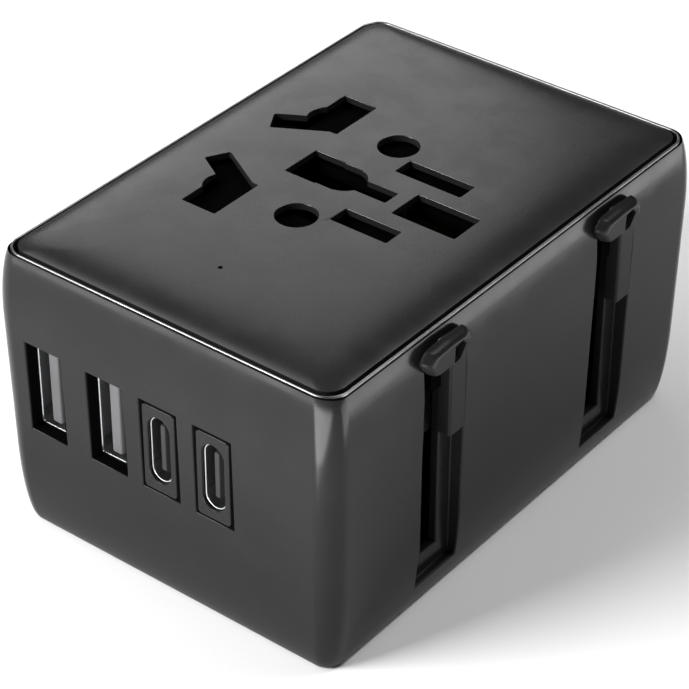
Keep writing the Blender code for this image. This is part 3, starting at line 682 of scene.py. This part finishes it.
def make_usb_c(number, x):
    """A surround, a steel sleeve, and a dark tongue with a row of pads on each face."""
    make_usb_c_frame(number, x)
    low, high = box_of(f"usb_c_shell_{number}")
    half_x, half_z, front = (high.x - low.x) / 2, (high.z - low.z) / 2, low.y - USB_C_SHELL_FORWARD
    radius = half_x - 0.01
    shell = metal_sleeve(f"usb_c_sleeve_{number}", half_x, half_z, radius, USB_C_WALL, front, high.y, x)
    piece(smooth(shell), "casing", "steel", STEEL, f"usb_c_shell_{number}")
    low, high = box_of(f"usb_c_tongue_{number}")
    low.y -= USB_C_TONGUE_FORWARD
    tongue = soften(box(f"usb_c_insulator_{number}", low, high), 0.18, everywhere)
    piece(smooth(tongue), "casing", "tongue_grey", TONGUE_DARK, f"usb_c_tongue_{number}")
    for side, row in ((1, "b"), (-1, "a")):
        face = x + side * (high.x - low.x) / 2
        near, far = sorted((face - side * 0.05, face + side * 0.03))
        for place in range(USB_C_PADS):
            z = PORT_Z + (place - (USB_C_PADS - 1) / 2) * USB_C_PITCH
            pad_low, pad_high = (near, low.y + 2.4, z - 0.14), (far, low.y + 4.6, z + 0.14)
            pad = box(f"usb_c_pad_{number}_{row}{place + 1}", pad_low, pad_high)
            piece(smooth(pad), "casing", "brass", GOLD)


# ---------------------------------------------------------------- sliders


def outward(points, side, y):
    """Points given as (distance out, distance along, z) from a slider's middle, put on its side."""
    return [(side * out, y + along, z) for out, along, z in points]


def hood_outline(half_top, half_low, low, high, middle):
    """A button's outline seen from outside: a low arch whose ends are cut away towards a narrow foot."""
    half = [(half_low, low), (half_top, high - 1.15), (half_top * 0.72, high - 0.05)]
    arch = [*half, (0.0, high + 0.12), *((-along, z) for along, z in reversed(half))]
    outline = rounded_polygon(arch, [0.7, 0.75, 1.0, 8.0, 1.0, 0.75, 0.7], 8)
    return [(middle + along, z) for along, z in outline]


def slider_hood(name, side, y, top, outer):
    """The low hood that stands off the side, rounded over towards its outer face."""
    foot, depth = top - HOOD_HEIGHT, outer - HOOD_BACK
    rings = []
    for angle in quarter(10):
        out, inset = HOOD_BACK + depth * math.sin(angle), HOOD_ROUNDING * (1 - math.cos(angle))
        half_top, half_foot = HOOD_HALF_TOP - inset * 1.5, HOOD_HALF_FOOT - inset * 0.5
        outline = hood_outline(half_top, half_foot, foot + inset * 0.5, top - inset, HOOD_SHIFT)
        rings.append(outward([(out, along, z) for along, z in outline], side, y))
    return skin(name, rings)


def slider_pad(side, y, top):
    """The grip pad below the hood, which fills half of the channel."""
    outline = [(22.9, 0.7), (24.4, 0.7), (24.6, 0.9), (24.6, 3.45), (22.9, 3.45)]
    pad = skin("pad", [outward([(*point, z) for point in outline], side, y) for z in (PAD_LOW, top - 2.8)])
    return soften(pad, 0.35, lambda middle: abs(middle.x) > 23.0 and middle.z < top - 3.0, 4)


def slider_notch(side, y, top, outer):
    """The cutter for the opening in the hood's face."""
    corners = [(-0.55, top - 3.15), (0.5, top - 2.9), (1.6, top - 1.5), (0.9, top - 0.75), (-0.45, top - 0.9)]
    outline = rounded_polygon(corners, 0.25)
    depths = (23.8, outer + 1)
    return skin("notch", [outward([(out, along, z) for along, z in outline], side, y) for out in depths])


def make_stem(name, side, y, top):
    """The stem that joins a slider to its carriage through the slot, with a root under the hood. It is a real
    part, made near-black and glossless as painted shade in the slot.
    """

    def block(label, low, high):
        near, far = sorted((side * low[0], side * high[0]))
        return box(label, (near, y + low[1], low[2]), (far, y + high[1], high[2]))

    low, high = zip(STEM_OUT, (-STEM_HALF, STEM_HALF), STEM_Z)
    stem = block(f"{name}_stem", low, high)
    root = block("root", (22.9, -STEM_HALF, top - 2.9), (HOOD_BACK + 0.3, 2.2, top - 1.9))
    piece(smooth(carved(stem, [root], "UNION")), f"{name}_plug", "carriage_black", SHADE_MATT)


def make_slider(name):
    """A thumb slider: a notched hood over a grip pad, and the stem that reaches in through the slot."""
    side, y = SLIDER_PLACES[name]
    low, high = box_of(f"{name}_slider")
    top, outer = high.z - 0.3, max(abs(low.x), abs(high.x)) - 0.35
    slider = slider_hood(f"{name}_button", side, y, top, outer)
    carved(slider, [slider_pad(side, y, top)], "UNION")
    carved(slider, [slider_notch(side, y, top, outer)])
    soften(slider, 0.12, lambda middle: abs(middle.x) > HOOD_BACK - 0.1, 3, 45.0)
    piece(smooth(slider, 48.0), f"{name}_plug", "button_black", BUTTON, f"{name}_slider")
    make_stem(name, side, y, top)


# ---------------------------------------------------------------- sockets inside


def make_shutter():
    """The plate that closes the live and neutral openings: slanted ramps, and windows for the earth pins."""
    top = box_of("safety_shutter")[1].z
    shutter = object_copy(frame["nodes"]["safety_shutter"], "shutter_plate")
    soften(shutter, 0.15, lambda middle: middle.z > top - 0.02)
    # The shutter's near-black, glossless moulding is painted shade deep in the pin openings
    piece(smooth(shutter), "shutter", "shutter_black", SHUTTER, "safety_shutter")


def make_contact_skirt():
    """A wall at each end of the contacts' tray, so that no light shows through from socket to slider slot."""
    walls = []
    for side in (1, -1):
        near, far = sorted((side * SKIRT_X[0], side * SKIRT_X[1]))
        walls.append(box(f"skirt_{side}", (near, -SKIRT_HALF_Y, SKIRT_Z[0]), (far, SKIRT_HALF_Y, SKIRT_Z[1])))
    skirt = carved(walls[0], walls[1:], "UNION")
    piece(smooth(skirt), "casing", "carriage_black", SHADE_MATT)


def make_light_pipe():
    """A clear round guide on a wider foot, under the indicator light's hole."""
    low, high = box_of("led_light_pipe")
    foot_top = low.z + 1.4
    pipe = cylinder("light_guide", 0.8, (*LIGHT_AT, foot_top), (*LIGHT_AT, high.z), 40)
    carved(pipe, [cylinder("foot", 1.4, (*LIGHT_AT, low.z), (*LIGHT_AT, foot_top), 40)], "UNION")
    soften(pipe, 0.12, everywhere)
    piece(smooth(pipe), "casing", "light_pipe", CLEAR, "led_light_pipe")


# ---------------------------------------------------------------- base and plugs


def make_bottom_cover():
    """The base plate: openings with rounded rims, screw sinks and a shallow panel line round the edge."""
    cover = object_copy(frame["nodes"]["bottom_cover"], "base_plate")
    outer, inner = [[half - inset for half in CAVITY] for inset in (1.5, 1.9)]
    groove = prism("groove", rounded_rectangle(*outer, 1.2, 8), -1, 0.25)
    carved(groove, [prism("island", rounded_rectangle(*inner, 1.0, 8), -2, 1)])
    carved(cover, [groove])
    soften(cover, 0.18, lambda middle: middle.z < 0.02)
    piece(smooth(cover), "casing", "shell_black", SHELL, "bottom_cover")


def make_screws():
    """Pan heads with a cross recess."""
    arm, half_width, recess_top = 1.05, 0.2, 0.8
    for number in range(1, 5):
        low, high = box_of(f"cover_screw_{number}")
        x, y = (low.x + high.x) / 2, (low.y + high.y) / 2
        screw = turned(f"screw_{number}", (x, y), [
            (0.0, high.z), (0.35, high.z), (0.95, high.z - 0.8), (0.95, 1.25), (2.0, 1.25), (2.05, 0.85),
            (1.9, 0.55), (1.55, 0.33), (1.0, 0.22), (0.0, low.z),
        ])
        cross = []
        for half_x, half_y in ((arm, half_width), (half_width, arm)):
            cross.append(box("cross", (x - half_x, y - half_y, -1), (x + half_x, y + half_y, recess_top)))
        carved(screw, cross)
        piece(smooth(screw), "casing", "steel", STEEL, f"cover_screw_{number}")


def make_euro_pins():
    """Round pins: bare tips with a rounded end, and an insulating sleeve above."""
    for number in (1, 2):
        low, high = box_of(f"eu_pin_{number}")
        at = ((low.x + high.x) / 2, (low.y + high.y) / 2)
        radius, bare = (high.x - low.x) / 2, low.z + ROUND_PIN_BARE
        neck, inner = radius - ROUND_PIN_NECK, radius - ROUND_PIN_SLEEVE
        tip = [(radius * math.sin(a), low.z + radius * 0.8 * (1 - math.cos(a))) for a in quarter(8)]
        pin = turned(f"round_pin_{number}", at, [
            *tip, (radius, bare), (neck, bare + 0.05), (neck, high.z), (0.0, high.z),
        ])
        piece(smooth(pin), "eu_plug", "plug_nickel", NICKEL, f"eu_pin_{number}")
        sleeve_low, sleeve_high = bare + 0.06, high.z - 0.02
        sleeve = turned(f"round_pin_sleeve_{number}", at, [
            (inner, sleeve_low), (radius - 0.06, sleeve_low), (radius, bare + 0.16), (radius, sleeve_high),
            (inner, sleeve_high),
        ], closed=True)
        piece(smooth(sleeve), "eu_plug", "carriage_black", CARRIAGE)


def make_british_pins():
    """Flat pins with chamfered ends, the live and neutral ones sleeved near the body."""
    for name in ("uk_live_pin", "uk_neutral_pin", "uk_earth_pin"):
        low, high = box_of(name)
        pin = box(name.replace("uk", "british"), low, high)
        soften(pin, 0.75, lambda middle: middle.z < low.z + 0.02, 4)
        soften(pin, 0.2, lambda middle: low.z + 0.8 < middle.z < high.z - 0.02, 2)
        piece(smooth(pin), "uk_plug", "brass", BRASS, name)
        if name == "uk_earth_pin":
            continue
        bare, top = low.z + FLAT_PIN_BARE, high.z - 0.3
        near, far = low - FLAT_PIN_MARGIN, high + FLAT_PIN_MARGIN
        sleeve = box(f"{name}_sleeve", (*near.xy, bare), (*far.xy, top))
        soften(sleeve, 0.3, lambda middle: bare + 0.1 < middle.z < top - 0.1)
        near, far = low + FLAT_PIN_CORE, high - FLAT_PIN_CORE
        core = box("core", (*near.xy, bare - 1), (*far.xy, high.z + 1))
        piece(smooth(carved(sleeve, [core])), "uk_plug", "carriage_black", CARRIAGE)


def make_blades():
    """Flat blades with a hole near the tip, each on a round foot about which it turns."""
    for number in (1, 2):
        name = f"us_au_blade_{number}"
        low, high = box_of(name)
        x, y = (low.x + high.x) / 2, (low.y + high.y) / 2
        near = (x - BLADE_HALF_X, y - BLADE_HALF_Y, low.z)
        far = (x + BLADE_HALF_X, y + BLADE_HALF_Y, BLADE_FOOT_LOW + 0.6)
        blade = box(f"flat_blade_{number}", near, far)
        corner_y = BLADE_HALF_Y - 0.08
        soften(blade, 1.2, lambda middle: middle.z < low.z + 0.02 and abs(middle.y - y) > corner_y, 5)
        soften(blade, 0.28, lambda middle: middle.z < BLADE_FOOT_LOW, 3, 20.0)
        hole_z = low.z + BLADE_HOLE_UP
        carved(blade, [cylinder("blade_hole", BLADE_HOLE_RADIUS, (x - 3, y, hole_z), (x + 3, y, hole_z))])
        foot = cylinder("foot", BLADE_FOOT_RADIUS, (x, y, BLADE_FOOT_LOW), (x, y, high.z), 48)
        carved(blade, [soften(foot, 0.2, everywhere)], "UNION")
        piece(smooth(blade), f"blade_{number}", "plug_nickel", NICKEL, name)


# ---------------------------------------------------------------- stage


def make_floor():
    """A wide pale floor just under the base."""
    mesh = bmesh.new()
    bmesh.ops.create_grid(mesh, x_segments=1, y_segments=1, size=900)
    floor = object_of("floor", mesh)
    floor.location.z = -0.0001
    pale = moulded("pale_floor", (0.88, 0.88, 0.88), 0.8, grain=20, depth=0.0, specular=0.1, wander=0.0)
    floor.data.materials.append(pale)


def area_light(name, at, towards, size, watts, turn=0.0):
    """A rectangular light, turned in its own plane by turn degrees."""
    data = bpy.data.lights.new(name, "AREA")
    data.shape = "RECTANGLE"
    data.size, data.size_y = size[0] * MM, size[1] * MM
    data.energy = watts
    light = bpy.data.objects.new(name, data)
    light.location = Vector(at) * MM
    light.rotation_mode = "QUATERNION"
    turned_by = Quaternion((0, 0, 1), math.radians(turn))
    light.rotation_quaternion = (Vector(towards) - Vector(at)).to_track_quat("-Z", "Y") @ turned_by
    SCENE.collection.objects.link(light)


def make_lights():
    """A big softbox overhead, a key from the front left, a fill from behind, a softbox that the panel
    mirrors, and low light tables whose reflections draw the shoulders and the front corner."""
    world = bpy.data.worlds.new("soft_white")
    world.use_nodes = True
    background = world.node_tree.nodes["Background"]
    background.inputs["Color"].default_value = (1.0, 1.0, 1.0, 1.0)
    background.inputs["Strength"].default_value = 0.06
    SCENE.world = world
    area_light("overhead", (-330, -150, 520), (0, 0, 0), (450, 450), 1.5)
    area_light("key", (-230, -420, 300), (-30, -60, 0), (240, 240), 4.5)
    area_light("fill", (200, 260, 600), (0, 0, 0), (300, 300), 2.3)
    area_light("panel_softbox", (-308, 308, 246), (0, 0, 38), (220, 180), 0.25)
    area_light("table_right", (150, 80, 2), (150, 80, 100), (150, 200), 0.5)
    area_light("table_corner", (78, -167, 2), (78, -167, 100), (190, 140), 1.3, turn=22)
    area_light("table_left", (-60, -250, 2), (-60, -250, 100), (300, 160), 1.2)
    SCENE.view_settings.view_transform = "Standard"


def make_camera():
    azimuth, elevation = math.radians(VIEW_AZIMUTH), math.radians(VIEW_ELEVATION)
    level = math.cos(elevation)
    back = Vector((math.sin(azimuth) * level, -math.cos(azimuth) * level, math.sin(elevation)))
    data = bpy.data.cameras.new("camera")
    data.lens = VIEW_LENS
    data.sensor_width = 36.0
    camera = bpy.data.objects.new("camera", data)
    camera.location = (Vector(VIEW_TARGET) + back * VIEW_DISTANCE) * MM
    camera.rotation_mode = "QUATERNION"
    roll = Quaternion((0, 0, 1), math.radians(VIEW_ROLL))
    camera.rotation_quaternion = (-back).to_track_quat("-Z", "Y") @ roll
    data.clip_start, data.clip_end = 0.01, 10.0
    SCENE.collection.objects.link(camera)
    SCENE.camera = camera


make_camera()
make_floor()
make_lights()
dress_cad_nodes()
make_housing()
make_top_panel()
make_trim_ring()
for port, centre in enumerate(PORT_CENTRES[:2], 1):
    make_usb_a(port, centre)
for port, centre in enumerate(PORT_CENTRES[2:], 1):
    make_usb_c(port, centre)
for plug in SLIDER_PLACES:
    make_slider(plug)
make_shutter()
make_contact_skirt()
make_light_pipe()
make_bottom_cover()
make_screws()
make_euro_pins()
make_british_pins()
make_blades()
